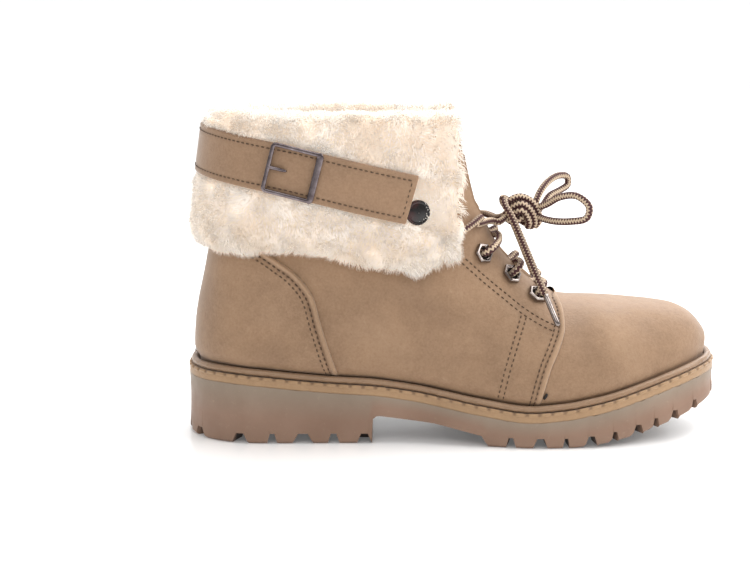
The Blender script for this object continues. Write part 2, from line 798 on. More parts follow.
# Camera
def look():
    camera = bpy.data.cameras.new("camera")
    camera.lens = 82.4
    camera.sensor_width = 36
    obj = bpy.data.objects.new("camera", camera)
    obj.location = Vector(to_frame([96, -876, 221]))
    obj.rotation_euler = (math.radians(90 - 9.4), 0, 0)
    camera.clip_start = 0.01
    bpy.context.scene.collection.objects.link(obj)
    bpy.context.scene.camera = obj


look()

# Lace: the part's own paths
KNOT = np.array([0.629 * SOLE_LENGTH, KNOT_Y, 0.72 * RIM_HEIGHT])
LOOP_NEAR = [
    (0.47, -0.12, 0.14), (0.7, -0.42, 0.26), (1.05, -0.8, 0.52), (1.5, -1.2, 0.6), (1.84, -1.45, 0.32),
    (1.78, -1.45, -0.02), (1.35, -1.15, -0.16), (0.95, -0.82, -0.2), (0.68, -0.46, -0.19),
    (0.47, -0.16, -0.14),
]
LOOP_FAR = [
    (0.42, 0.1, 0.27), (0.58, 0.36, 0.56), (0.85, 0.75, 0.82), (1.2, 1.15, 0.96), (1.5, 1.4, 0.9),
    (1.52, 1.42, 0.66), (1.25, 1.2, 0.5), (0.92, 0.85, 0.38), (0.68, 0.46, 0.14), (0.47, 0.14, -0.02),
]
LACE_END = [
    (-0.38, 0.12, 0.3), (-0.54, 0.3, 0.36), (-0.52, 0.5, 0.2), (-0.37, 0.67, -0.04),
    (-0.12, 0.86, -0.6), (0.14, 1.12, -1.21), (0.36, 1.38, -1.74), (0.57, 1.64, -2.24),
]
INNER_SPREAD = 1.25


def knot_path(rows, side=1.0, spread=1.0):
    rows = np.array(rows)
    return rows * [1, side * spread, 1] * KNOT_WIDTH + KNOT


def lace_tube(name, path, node):
    points, faces, uv = sweep(path, LACE_DIAMETER / 2, 14)
    obj = make_mesh(name, points, faces, lace_material, uv)
    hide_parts(node)
    return obj


def joined_tubes(name, paths, node):
    """Several runs of lace as one piece."""
    points, faces, uvs, start = [], [], [], 0
    for path in paths:
        p, f, uv = sweep(path, LACE_DIAMETER / 2, 12)
        points.append(p)
        uvs.append(uv)
        faces += [[v + start for v in face] for face in f]
        start += len(p)
    obj = make_mesh(name, np.concatenate(points), faces, lace_material, np.concatenate(uvs))
    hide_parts(node)
    return obj


def aglet(name, path, node):
    along = unit(path[-1] - path[-2])
    start = path[-1] + along * GAP
    steps = np.linspace(0, AGLET_LENGTH, 8)[:, None]
    points, faces, uv = sweep(start + along * steps, AGLET_DIAMETER / 2 * 0.97, 16)
    obj = make_mesh(name, points, faces, metal_tip, uv)
    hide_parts(node)
    return obj


def free_lace():
    near = curve_through(knot_path(LOOP_NEAR), 36)
    far = curve_through(knot_path(LOOP_FAR), 36)
    knot = lace_knot()
    obj = lace_tube("loop_near", near, "lace_loop_near")
    obj = lace_tube("loop_far", far, "lace_loop_far")
    for side, name in ((-1, "outer"), (1, "inner")):
        path = knot_path(LACE_END, side, INNER_SPREAD if side > 0 else 1)
        path = curve_through(path, 30)
        tip = aglet("tip_" + name, path, "aglet_" + name)
        obj = lace_tube("end_" + name, path, "lace_end_" + name)


def lace_knot():
    """Wraps of lace round each other, in mm from the middle of the knot."""
    strands = [
        # Three turns side by side, on the side in view
        [(-7.4, -1.4, 1.0), (-6.8, -3.2, 5.4), (-1.6, -4.0, 8.0), (4.4, -3.8, 5.6), (8.0, -2.8, 0.0),
         (8.6, -1.8, -4.6), (7.0, 0.6, -7.6)],
        [(-7.0, -1.6, -1.0), (-4.6, -4.6, 3.0), (-0.2, -5.8, 4.6), (3.8, -5.8, 1.6), (6.0, -4.4, -2.8),
         (6.0, -2.2, -6.4), (4.6, 0.6, -7.8)],
        [(-6.4, -2.0, -2.6), (-3.6, -5.6, 0.2), (-0.4, -6.8, 1.2), (2.2, -6.2, -1.6), (3.4, -4.6, -5.0),
         (3.0, -1.6, -7.6)],
        # The two ends that come in from the eyelets
        [(-8.6, -2.4, -2.5), (-5.6, -4.4, -4.6), (-2.4, -5.2, -3.8), (0.5, -3.8, -2.0)],
        [(-8.8, 2.4, -2.0), (-4.0, 3.6, 0.5), (2.0, 3.2, 3.4), (7.6, 1.8, 4.4)],
        # The far side, and the roots of the loops
        [(-5.0, 1.0, 5.8), (0.0, 3.5, 6.8), (5.0, 3.0, 3.0), (7.9, 2.4, -0.3)],
        [(8.2, -2.0, 2.4), (3.0, -1.6, 2.6), (-3.0, 0.0, 0.0)],
        [(8.2, -2.7, -2.4), (3.0, -1.8, -3.4), (-3.0, 0.0, -3.0)],
        [(-6.6, 2.4, 4.4), (-3.0, 4.6, 0.0), (0.0, 3.6, -5.0), (3.0, 1.0, -6.6)],
    ]
    paths = [curve_through(np.array(strand), 30) + KNOT for strand in strands]
    return joined_tubes("knot", paths, "lace_knot")


free_lace()

EYELET_ROWS = [(0.6515, 0.455), (0.6025, 0.5235), (0.549, 0.596), (0.4955, 0.6685)]
EYELETS = [(x * SOLE_LENGTH, z * RIM_HEIGHT) for x, z in EYELET_ROWS]


def lace_run(start_side):
    radius = LACE_DIAMETER / 2
    over = QUARTER_STEP + GAP * 7 + EYELET_THICKNESS + radius
    under = -WALL - GAP * 3.2 - radius
    around = QUARTER_STEP + GAP * 4 + radius
    spots = []
    for level, (x, z) in enumerate(EYELETS):
        turn, line, share = place_on_last(x, z)
        side = start_side if level % 2 == 0 else -start_side
        spots.append((float(turn), side, float(line.half(share))))
    points = [ridge_point(spots[0][0], 0.0, under)]
    for level, (turn, side, y) in enumerate(spots):

        def at(width, out, where=turn):
            points.append(ridge_point(where, side * width, out))

        edge = float(throat_half(turn))
        bend = 3.4
        steps = math.ceil((y - edge) / 8)
        for i in range(1, steps + 1):
            at(mix(edge, y - bend, i / steps), under)
        at(y - 0.7, under + 0.6)
        at(y, (under + over) / 2)
        at(y - 0.7, over - 0.6)
        at(y - bend, over)
        if steps > 1:
            at(mix(edge, y - bend, 0.5), (over + around) / 2)
        if level == len(spots) - 1:
            break
        next_turn, _, next_y = spots[level + 1]

        def passing(width):
            return mix(turn, next_turn, (y - width) / (y + next_y))

        at(edge + 0.6, around, mix(turn, passing(edge + 0.6), 0.3))
        at(edge - 3.2, -1.2, mix(turn, passing(edge - 3.2), 0.35))
        at(0, under * 0.8 + start_side * 0.8, passing(0))
        back = float(throat_half(next_turn))
        at(-back, under, passing(-back))
    top_side = spots[-1][1]
    end = KNOT + [-KNOT_WIDTH / 2, top_side * 2.4, -2.5]
    points += list(out_point(np.array([144.0, 151.0]), np.array([108.6, 108.2]), top_side, around))
    points.append(mix(np.asarray(points[-1]), end, 0.5) + [0, top_side * 1.5, -1.5])
    points.append(end)
    return curve_through(np.array(points).reshape(-1, 3), 190)


joined_tubes("crossings", [lace_run(-1), lace_run(1)], "lace_crossings")


# Floor and light
def stage():
    bpy.ops.mesh.primitive_plane_add(size=400, location=(0, 0, 0))
    floor = bpy.context.object
    floor.name = "floor"
    floor.data.materials.append(floor_paint())
    world = bpy.data.worlds.new("studio") if not bpy.context.scene.world else bpy.context.scene.world
    bpy.context.scene.world = world
    world.use_nodes = True
    tree = world.node_tree
    back = tree.nodes.get("Background")
    back.inputs["Color"].default_value = (1, 1, 1, 1)
    # The side that the photographer stands on is dimmer, which the metal shows
    place = tree.nodes.new("ShaderNodeTexCoord")
    parts = tree.nodes.new("ShaderNodeSeparateXYZ")
    dim = tree.nodes.new("ShaderNodeMapRange")
    dim.inputs["From Min"].default_value = -0.75
    dim.inputs["From Max"].default_value = 0.1
    dim.inputs["To Min"].default_value = 0.5
    dim.inputs["To Max"].default_value = 1.0
    tree.links.new(place.outputs["Generated"], parts.inputs[0])
    tree.links.new(parts.outputs[1], dim.inputs["Value"])
    tree.links.new(dim.outputs[0], back.inputs["Strength"])
    bpy.context.scene.view_settings.view_transform = "Standard"
    lamps = [
        ("key", (-0.2, -1.0, 0.9), (0.9, 0.5), 3.2),
        ("top", (0.25, 0.3, 1.1), (1.2, 1.0), 13.5),
        ("front", (1.1, -0.15, 0.8), (0.6, 0.6), 7.0),
        ("rim", (0.4, 1.3, 0.95), (1.4, 0.5), 11.0),
    ]
    for name, place, size, power in lamps:
        light = bpy.data.lights.new(name, "AREA")
        light.shape = "RECTANGLE"
        light.size, light.size_y = size
        light.energy = power
        obj = bpy.data.objects.new(name, light)
        obj.location = place
        aim = Vector((0.0, 0.0, 0.06)) - Vector(place)
        obj.rotation_euler = aim.to_track_quat("-Z", "Y").to_euler()
        bpy.context.scene.collection.objects.link(obj)


stage()


# Sole
def sole_stations(inset, count):
    heel_count = round(count * 0.25)
    toe_count = round(count * 0.32)
    straight = count - heel_count - toe_count

    def fall(share):
        return 1 - np.cos(share * np.pi / 2) ** (2 / END_POWER)

    heel = inset + (HEEL_ROUND - inset) * fall(np.arange(heel_count) / heel_count)
    flat = HEEL_ROUND + (SOLE_LENGTH - TOE_ROUND - HEEL_ROUND) * np.arange(straight) / straight
    toe = SOLE_LENGTH - inset - (TOE_ROUND - inset) * fall(np.arange(toe_count, -1, -1) / toe_count)
    return np.concatenate([heel, flat, toe])


class Edge:
    """The sole's plan outline at an inset, as a closed path with places by distance."""

    def __init__(self, inset):
        x = sole_stations(inset, 420)
        half = outline_half(x, inset)
        near = np.stack([x, middle(x) - half], -1)
        far = np.stack([x, middle(x) + half], -1)[1:-1][::-1]
        path = np.concatenate([near, far])
        step = np.linalg.norm(np.roll(path, -1, 0) - path, axis=1)
        self.total = step.sum()
        self.at = np.concatenate([[0], np.cumsum(step)])
        self.path = np.concatenate([path, path[:1]])

    def place(self, s):
        s = np.mod(s, self.total)
        return np.stack([np.interp(s, self.at, self.path[:, k]) for k in (0, 1)], -1)

    def inward(self, s):
        along = unit(self.place(s + 1.2) - self.place(s - 1.2))
        return np.stack([-along[..., 1], along[..., 0]], -1)

    def nearest(self, x, y):
        gap = np.hypot(self.path[:-1, 0] - x, self.path[:-1, 1] - y)
        return self.at[np.argmin(gap)]


RIM_EDGE = Edge(0.0)
HEEL_GROOVES = [(0.3, 1.45), (0.475, 0.85), (0.64, 1.75), (0.8, 1.0)]
BACK_GROOVES = [(0.26, 1.7), (0.74, 1.5)]
FORE_GROOVES = [
    (0.6, 0.85), (0.654, 1.25), (0.703, 0.6), (0.75, 1.1), (0.794, 0.7), (0.837, 1.1), (0.873, 0.7),
    (0.91, 1.0), (0.95, 0.9),
]
TOE_GROOVES = [(0.3, 1.1)]
TREAD_BLOCKS = [
    (0.1, 0.35), (0.1, -0.35), (0.17, 0), (0.24, 0.35), (0.24, -0.35), (0.62, 0.3), (0.62, -0.3),
    (0.67, 0), (0.72, 0.35), (0.72, -0.35), (0.77, 0), (0.82, 0.35), (0.82, -0.35), (0.87, 0),
]


def arch_bottom(x):
    rows = [
        (HEEL_LENGTH, 0.0), (HEEL_LENGTH + 0.6, ARCH_HEIGHT - 2), (HEEL_LENGTH + 3, ARCH_HEIGHT),
        (mix(HEEL_LENGTH, FORE_START, 0.55), mix(ARCH_HEIGHT, ARCH_END, 0.42)),
        (FORE_START - 3, ARCH_END), (FORE_START, 0.0),
    ]
    places, heights = zip(*rows)
    return np.interp(x, places, heights)


def outsole():
    grooves = []
    for side in (-1, 1):
        rows = [(at * HEEL_LENGTH, width) for at, width in HEEL_GROOVES]
        rows += [(at * SOLE_LENGTH, width) for at, width in FORE_GROOVES]
        for x, width in rows:
            y = middle(x) + side * outline_half(x, 0)
            grooves.append((RIM_EDGE.nearest(x, y), width * LUG_DEPTH))
        for across, width in BACK_GROOVES:
            grooves.append((RIM_EDGE.nearest(0, side * across * HEEL_WIDTH / 2), width * LUG_DEPTH))
        for across, width in TOE_GROOVES:
            y = middle(SOLE_LENGTH) + side * across * TOE_WIDTH / 2
            grooves.append((RIM_EDGE.nearest(SOLE_LENGTH, y), width * LUG_DEPTH))
        y = middle(HEEL_LENGTH) + side * outline_half(HEEL_LENGTH, 0)
        grooves.append((RIM_EDGE.nearest(HEEL_LENGTH - 3.2, y), 1.25 * LUG_DEPTH))
    grooves.sort()
    # Stations: a place, a lean with height, and 1 in a groove
    stations = []
    for i, (s, width) in enumerate(grooves):
        for q in np.linspace(-1, 1, 7):
            stations.append((s, q * width, 1))
        next_s, next_width = grooves[(i + 1) % len(grooves)]
        if next_s <= s:
            next_s += RIM_EDGE.total
        start, end = s + 0.45 * width, next_s - 0.45 * next_width
        stations.append((s, width, 0))
        count = max(2, round((end - start) / 1.6))
        for k in range(1, count):
            stations.append((start + (end - start) * k / count, 0, 0))
        stations.append((next_s, -next_width, 0))
    place = np.array([row[0] for row in stations])
    lean = np.array([row[1] for row in stations])
    groove = np.array([row[2] for row in stations])
    mid = RIM_EDGE.place(place)
    top = rubber_top(mid[:, 0])
    floor = tread(mid[:, 0])
    in_arch = (mid[:, 0] > HEEL_LENGTH) & (mid[:, 0] < FORE_START)
    bottom = np.where(in_arch, arch_bottom(mid[:, 0]), floor)
    bottom = np.where(mid[:, 0] <= HEEL_LENGTH, 0, bottom)
    has_lug = (bottom < floor + LUG_DEPTH * 0.5) & ~in_arch
    ceiling = np.where(has_lug, floor + LUG_DEPTH, bottom)
    sunk = has_lug & ((mid[:, 0] < HEEL_LENGTH - 7) | (mid[:, 0] > FORE_START + LUG_DEPTH))
    low = np.where(groove == 1, ceiling, bottom)
    recess = np.where(sunk, floor + LUG_DEPTH * 0.8, bottom)
    # Rows: inset and height from the middle of the tread out, then up the side
    rows = [(None, recess), (TREAD_INSET + 8, recess), (TREAD_INSET, recess)]
    rows += [(TREAD_INSET, low), (TREAD_INSET * 0.5, low), (2.2, low), (1.3, low + 0.15), (0.5, low + 0.7)]
    for share in (0.3, 0.6, 1.0):
        rows.append((-0.15, np.maximum(mix(low, ceiling, share), low + 1.4 * share)))
    for share in np.linspace(0, 1, 16)[1:]:
        bow = 0.35 * math.sin(share * math.pi)
        rows.append((-0.1 + bow, mix(np.maximum(ceiling, low + 1.4), top, share)))
    rows.append((0.1, top + GAP * 0.4))
    rows.append((3.0, top + GAP * 0.4))
    points, heights, hollow = [], [], []
    for inset, z in rows:
        rise = np.clip((z - floor) / LUG_DEPTH, -0.2, 1)
        half = mix(0.72, 0.3, (rise + 0.2) / 1.2)
        s = place + lean * half
        edge = RIM_EDGE.place(s)
        if inset is None:
            x = np.clip(edge[:, 0], 24, SOLE_LENGTH - 34)
            xy = np.stack([x, middle(x)], -1)
        else:
            xy = edge + RIM_EDGE.inward(s) * inset
        points.append(np.column_stack([xy, z]))
        heights.append((z - bottom) / np.maximum(top - bottom, 1))
        inner = 0.9 if inset is None or inset > 5 else 0.0
        deep = np.where((groove == 1) & (z <= ceiling + 0.01), 0.85, inner)
        hollow.append(np.maximum(deep, inner))
    count = len(stations)
    grid = np.concatenate(points)
    faces = grid_faces(len(rows), count, close_cols=True)
    tone_h, tone_o = np.concatenate(heights), np.concatenate(hollow)
    parts = [(grid, faces)]
    extra = 0
    for at, across in TREAD_BLOCKS:
        x = at * SOLE_LENGTH
        y = middle(x) + across * outline_half(x, TREAD_INSET)
        turn = np.linspace(0, 2 * np.pi, 7)[:-1]
        rings = []
        for radius, z in ((0.01, 0.05), (1.1, 0.05), (1.25, 0.3), (1.44, 0.95)):
            ring_x = x + np.cos(turn) * radius * LUG_DEPTH
            rings.append(np.column_stack([
                ring_x, y + np.sin(turn) * radius * LUG_DEPTH, tread(ring_x) + z * LUG_DEPTH,
            ]))
        parts.append((np.concatenate(rings), grid_faces(4, 6, close_cols=True)))
        extra += 24
    points, faces = combine(parts)
    obj = make_mesh("sole", points, faces, rubber)
    add_tone(obj, "height", np.concatenate([tone_h, np.zeros(extra)]))
    add_tone(obj, "hollow", np.concatenate([tone_o, np.full(extra, 0.4)]))
    mark_sharp(obj, 34)
    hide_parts("outsole")


def mark_sharp(obj, degrees):
    obj.data.set_sharp_from_angle(angle=math.radians(degrees))


def welt():
    count = 1200
    s = np.linspace(0, RIM_EDGE.total, count, endpoint=False)
    edge = RIM_EDGE.place(s)
    inward = RIM_EDGE.inward(s)
    low = rubber_top(edge[:, 0]) + GAP
    high = seat(edge[:, 0])
    pitch = RIM_EDGE.total / round(RIM_EDGE.total / 6.3)
    beat = np.mod(s, pitch) / pitch
    stitch = smooth(0.08, 0.2, beat) * smooth(0.92, 0.8, beat)
    rows = [
        (8.5, 0.02, 0), (3, 0.0, 0), (0.25, -0.06, 0), (0.03, -0.05, 0), (0.0, 0.12, 0), (0.0, 0.45, 0),
        (0.0, 0.6, 0), (0.12, 0.66, 0), (0.02, 0.74, 0.5), (-0.05, 0.84, 1.0), (0.1, 0.93, 1.0),
        (0.4, 0.985, 1.0),
        (0.75, 1.0, 0.8), (1.05, 1.0, 0.2), (1.3, 0.97, 0), (1.8, 0.97, 0), (4, 0.98, 0), (8.9, 0.98, 0),
    ]
    points, tone = [], []
    for inset, share, raised in rows:
        out = 0.42 * raised * stitch - 0.25 * (raised > 0) * (1 - stitch) * raised
        xy = edge + inward * (inset - out * (0.8 if share < 0.95 else 0.2))[:, None]
        z = mix(low, high, share) + out * (0.3 if share < 0.9 else 0.75)
        points.append(np.column_stack([xy, z]))
        tone.append(0.55 * raised * (1 - stitch) + (0.15 if share < 0.05 else 0.0))
    obj = make_mesh("welt_strip", np.concatenate(points), grid_faces(len(rows), count, close_cols=True),
                    welt_paint)
    add_tone(obj, "crease", np.concatenate(tone))
    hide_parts("welt")


def bead():
    radius = BEAD_DIAMETER / 2
    edge = Edge(BEAD_INSET + radius)
    count, sides = 900, 14
    s = np.linspace(0, edge.total, count, endpoint=False)
    xy = edge.place(s)
    inward = edge.inward(s)
    z = seat(xy[:, 0]) + GAP + radius
    turn = np.linspace(0, 2 * np.pi, sides, endpoint=False)
    swell = radius * (1 + 0.05 * np.sin(s / 2.1 + np.sin(s / 7)) + 0.03 * np.sin(s / 0.9))
    out = np.cos(turn) * swell[:, None]
    points = np.stack([
        xy[:, None, 0] - inward[:, None, 0] * out,
        xy[:, None, 1] - inward[:, None, 1] * out,
        z[:, None] + np.sin(turn) * radius,
    ], -1).reshape(-1, 3)
    faces = grid_faces(count, sides, close_rows=True, close_cols=True, flip=True)
    obj = make_mesh("bead_roll", points, faces, bead_paint)
    add_tone(obj, "crease", np.zeros(len(points)))
    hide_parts("bead")


def insole():
    x = np.linspace(10.6, SOLE_LENGTH - 10.6, 150)
    rows = []
    for share in np.linspace(-1, 1, 61):
        half = outline_half(x, 10.3)
        z = seat(x) + 1.6 + 0.5 * (1 - share**4)
        rows.append(np.stack([x, middle(x) + share * half, z], -1))
    points = np.stack(rows)
    points[..., 2] += 0.35 * noise3(points, 3.0) + 0.2 * noise3(points, 1.4, 3)
    under = points.copy()
    under[..., 2] = rubber_top(under[..., 0]) + GAP
    skin = combine([
        (points, grid_faces(61, 150, flip=True)),
        (under, grid_faces(61, 150)),
    ])
    rim = np.concatenate([points[0], points[:, -1], points[-1][::-1], points[:, 0][::-1]])
    rim_low = rim.copy()
    rim_low[:, 2] = rubber_top(rim[:, 0]) + GAP
    wall = np.concatenate([rim, rim_low]), grid_faces(2, len(rim), close_cols=True)
    points, faces = combine([skin, wall])
    obj = make_mesh("footbed", points, faces, lining_paint)
    add_tone(obj, "rise", np.full(len(points), 0.6))
    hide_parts("insole")


welt_paint = leather_paint("welt_paint", srgb(146, 114, 80), srgb(166, 133, 98), "crease", 1.2, 0.1)
bead_paint = leather_paint("bead_paint", srgb(126, 97, 71), srgb(146, 116, 89), "crease", 0.8, 0.36)
outsole()
welt()
bead()
insole()

# Upper
QUARTER_EDGE = [
    (0.6, 0.68), (0.655, 0.53), (0.679, 0.48), (0.691, 0.455), (0.7, 0.418), (0.7, 0.365), (0.688, 0.31),
    (0.672, 0.25), (0.655, 0.15), (0.645, 0.06),
]
COUNTER_EDGE = [
    (-0.05, 0.7), (0.1, 0.66), (0.147, 0.625), (0.18, 0.586), (0.21, 0.545), (0.238, 0.48),
    (0.255, 0.38), (0.268, 0.305), (0.284, 0.225), (0.3, 0.1),
]


def view_curve(rows, count):
    """A smooth curve in the side view through shares of the sole's length and the rim's height."""
    knots = np.array([(x * SOLE_LENGTH, 0, z * RIM_HEIGHT) for x, z in rows])
    return curve_through(knots, count)[:, [0, 2]]


QUARTER_CURVE = view_curve(QUARTER_EDGE, 160)
COUNTER_CURVE = view_curve(COUNTER_EDGE, 160)


def signed_gap(x, z, curve):
    """Distance to a curve in the side view, positive on the heel's side of it."""
    best = np.full(x.shape, 1e9)
    sign = np.ones(x.shape)
    for a, b in zip(curve[:-1], curve[1:]):
        d = b - a
        t = np.clip(((x - a[0]) * d[0] + (z - a[1]) * d[1]) / (d @ d), 0, 1)
        gap = np.hypot(x - a[0] - t * d[0], z - a[1] - t * d[1])
        turned = d[0] * (z - a[1]) - d[1] * (x - a[0])
        closer = gap < best - 1e-9
        best = np.where(closer, gap, best)
        sign = np.where(closer, np.sign(turned), sign)
    return best * -sign


# Creases in the side view: from x, z to x, z, half width and depth; below 0 is a ridge
CREASES = [
    (60.5, 77, 68, 56, 1.8, 0.35), (14, 90, 12, 52, 4.5, 0.4), (72, 96, 122, 83, 4.5, 0.45),
    (98, 78, 150, 56, 7.0, 0.5), (120, 46, 152, 36, 6.0, 0.3), (30, 52, 55, 44, 6.0, 0.35),
    (40, 70, 52, 60, 5.0, -0.3), (196, 66, 204, 38, 7.0, 0.5), (212, 64, 226, 40, 8.0, -0.35),
    (232, 62, 246, 42, 7.0, 0.3), (252, 58, 262, 42, 5.0, 0.25), (150, 78, 172, 60, 4.0, -0.3),
    (84, 60, 112, 48, 8.0, -0.35), (134, 70, 146, 46, 5.0, -0.3),
]


def crease_field(x, z):
    total = np.zeros(x.shape)
    for x0, z0, x1, z1, width, depth in CREASES:
        a, b = np.array([x0, z0]), np.array([x1, z1])
        d = b - a
        t = np.clip(((x - a[0]) * d[0] + (z - a[1]) * d[1]) / (d @ d), 0, 1)
        gap = np.hypot(x - a[0] - t * d[0], z - a[1] - t * d[1])
        ends = np.sin(np.pi * np.clip(0.12 + 0.76 * t, 0, 1))
        total -= depth * ends * np.exp(-(gap / width) ** 2)
    return total


def panel_height(x, z):
    """How far the leather stands out over the last: raised panels and creases."""
    height = z - seat(x)
    fade = np.clip((height - UPPER_TUCK) / 5.0, 0, 1)
    quarter = smooth(0.8, 3.6, signed_gap(x, z, QUARTER_CURVE))
    counter = smooth(0.8, 3.6, signed_gap(x, z, COUNTER_CURVE))
    step = np.maximum(QUARTER_STEP * quarter, COUNTER_STEP * counter) * fade
    return step + crease_field(x, z)


def upper():
    turns = np.concatenate([
        np.linspace(0, 3, 34, endpoint=False), np.linspace(3, 10, 96, endpoint=False),
        np.linspace(10, 14, 40, endpoint=False), np.linspace(14, 21, 60, endpoint=False),
        np.linspace(21, 27, 70),
    ])
    cols = 78
    line = Line(turns[:, None])
    open_half = np.where(turns > THROAT_TURN, throat_half(turns), 0)
    end_share = np.where(turns > THROAT_TURN, Line(turns).share_of_half(open_half), 1.0)
    dense = 1 - (1 - np.linspace(0, 1, 240)) ** 2
    share = dense[None, :] * end_share[:, None]
    path = line.point(share, -1.0)
    step = np.linalg.norm(np.diff(path, axis=1), axis=2)
    run = np.concatenate([np.zeros((len(turns), 1)), np.cumsum(step, axis=1)], axis=1)
    shares = np.stack([
        np.interp(np.linspace(0, run[i, -1], cols), run[i], share[i]) for i in range(len(turns))
    ])
    grids = [line.point(shares, side) for side in (-1.0, 1.0)]
    rows = len(turns)
    near, far = np.arange(rows * cols).reshape(rows, cols), np.arange(rows * cols).reshape(rows, cols)
    far = far + rows * cols
    meet = turns <= THROAT_TURN
    far[meet, -1] = near[meet, -1]
    back = foot_at(turns) <= 0.0201
    far[back, 0] = near[back, 0]
    far[0, :] = near[0, :]

    def quads(index, flip):
        q = np.stack([index[:-1, :-1], index[:-1, 1:], index[1:, 1:], index[1:, :-1]], -1).reshape(-1, 4)
        return q[:, ::-1] if flip else q

    faces = np.concatenate([quads(near, False), quads(far, True)])
    points = np.concatenate([g.reshape(-1, 3) for g in grids])
    normal = mesh_normals(points, faces)
    outward = np.sign((normal * (points - [120, 0, 60])).sum())
    normal = normal * outward
    if outward < 0:
        faces = faces[:, ::-1].copy()
    x, z = points[:, 0], points[:, 2]
    out = panel_height(x, z)
    out += 0.16 * noise3(points, 16, 1) * np.clip((z - seat(x)) / 12, 0, 1) + 0.05 * noise3(points, 5, 2)
    crease = np.clip(-crease_field(x, z) * 0.28, -0.2, 0.35)
    outer = points + normal * out[:, None]
    inner = points - normal * WALL
    hem = np.isclose(np.tile(shares, (2, 1)).ravel(), 0) & (z < 60)
    outer[hem, 2] += GAP * 1.5
    inner[hem, 2] += GAP * 1.5
    total = len(points)
    border = []
    for index, flip in ((near, False), (far, True)):
        strips = [index[turns > THROAT_TURN, -1], index[-1, :]]
        strips.append(index[~back, 0])
        for strip in strips:
            border.append(np.stack([strip[:-1], strip[1:], strip[1:] + total, strip[:-1] + total], -1))
    faces = np.concatenate([faces, faces[:, ::-1] + total, *border])
    obj = make_mesh("shell", np.concatenate([outer, inner]), faces, quarter_paint)
    add_tone(obj, "crease", np.concatenate([crease, np.full(total, 0.2)]))
    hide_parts("upper")


def overlay(curve, side, step, width):
    """A folded edge along a curve: a strip with a rounded rim that dips under the panel behind."""
    d = unit(np.gradient(curve, axis=0))
    inward = np.stack([d[:, 1], -d[:, 0]], -1)
    rows = [
        (0.1, -0.15), (-0.35, 0.05), (-0.3, 0.29), (-0.15, 0.75), (0.1, 1.25), (0.4, 1.55), (0.9, 1.68),
        (1.5, 1.55), (2.1, 1.25), (2.8, 0.98), (3.5, 0.82), (4.4, 0.82), (5.2, 0.92), (width - 0.9, 1.0),
        (width, 0.6),
    ]
    points, tone = [], []
    for reach, rise in rows:
        place = curve + inward * reach
        fade = np.clip((place[:, 1] - seat(place[:, 0]) - UPPER_TUCK) / 5, 0, 1)
        out = np.where(rise < 0.9, rise * step * fade, step * fade * rise + 0.12)
        if reach == width:
            out = step * fade - 0.25
        out = out + crease_field(place[:, 0], place[:, 1])
        points.append(out_point(place[:, 0], place[:, 1], side, out))
        mark = 0.95 if rise < 0.3 else (-0.2 if reach < 1.7 else (0.3 if 2.5 < reach < 5.5 else 0.0))
        tone.append(np.full(len(place), mark))
    faces = grid_faces(len(rows), len(curve), flip=side > 0)
    return np.concatenate(points), faces, np.concatenate(tone)


def stitch_row(points, normals, pitch, length, width, rise=0.25):
    """Short raised threads along a path, each a small rounded body lying on its surface."""
    step = np.linalg.norm(np.diff(points, axis=0), axis=1)
    run = np.concatenate([[0], np.cumsum(step)])
    count = max(1, int(run[-1] / pitch))
    at = (np.arange(count) + 0.5) * run[-1] / count

    def along(values, s):
        return np.stack([np.interp(s, run, values[:, k]) for k in range(3)], -1)

    start, end = along(points, at - length / 2), along(points, at + length / 2)
    centre = (start + end) / 2
    normal = unit(along(normals, at))
    direction = unit(end - start)
    across = np.cross(normal, direction)
    rings = []
    rows = [
        (-1, 0.15, -0.6), (-0.86, 0.7, -0.1), (-0.4, 1, 0.9),
        (0.4, 1, 0.9), (0.86, 0.7, -0.1), (1, 0.15, -0.6),
    ]
    for share, size, lift in rows:
        for turn in np.linspace(0, 2 * np.pi, 7)[:-1]:
            rings.append(
                centre + direction * share * length / 2
                + across * (math.cos(turn) * size * width / 2)
                + normal * (math.sin(turn) * size * width * 0.42 + lift * rise * 0.5)
            )
    body = np.stack(rings, 1)
    faces = grid_faces(6, 6, close_cols=True)
    index = np.arange(count)[:, None, None] * 36 + faces[None]
    return body.reshape(-1, 3), index.reshape(-1, 4)


def seam_on_side(curve, side, out, reach):
    d = unit(np.gradient(curve, axis=0))
    place = curve + np.stack([d[:, 1], -d[:, 0]], -1) * reach
    height = crease_field(place[:, 0], place[:, 1])
    fade = np.clip((place[:, 1] - seat(place[:, 0]) - UPPER_TUCK) / 5, 0, 1)
    normals = side_normal(place[:, 0], place[:, 1], side)
    points = out_point(place[:, 0], place[:, 1], side, out * fade + height + 0.03)
    return stitch_row(points, normals, 2.8, 1.75, 0.7)


def trimmed(curve, low, high=None):
    keep = curve[:, 1] > seat(curve[:, 0]) + low
    if high is not None:
        keep &= curve[:, 1] < high
    return curve[keep]


EYESTAY_SEAM = [(139.4, 91.5), (149.7, 82), (160, 73.3), (170.6, 65), (180, 59.7), (185.3, 57.5)]
MID_SEAM = [(170.3, 63.4), (165.8, 50.4), (161.7, 37.4), (158.4, 24)]


def plain_curve(rows, count=60):
    knots = np.array([(x, 0, z) for x, z in rows])
    return curve_through(knots, count)[:, [0, 2]]


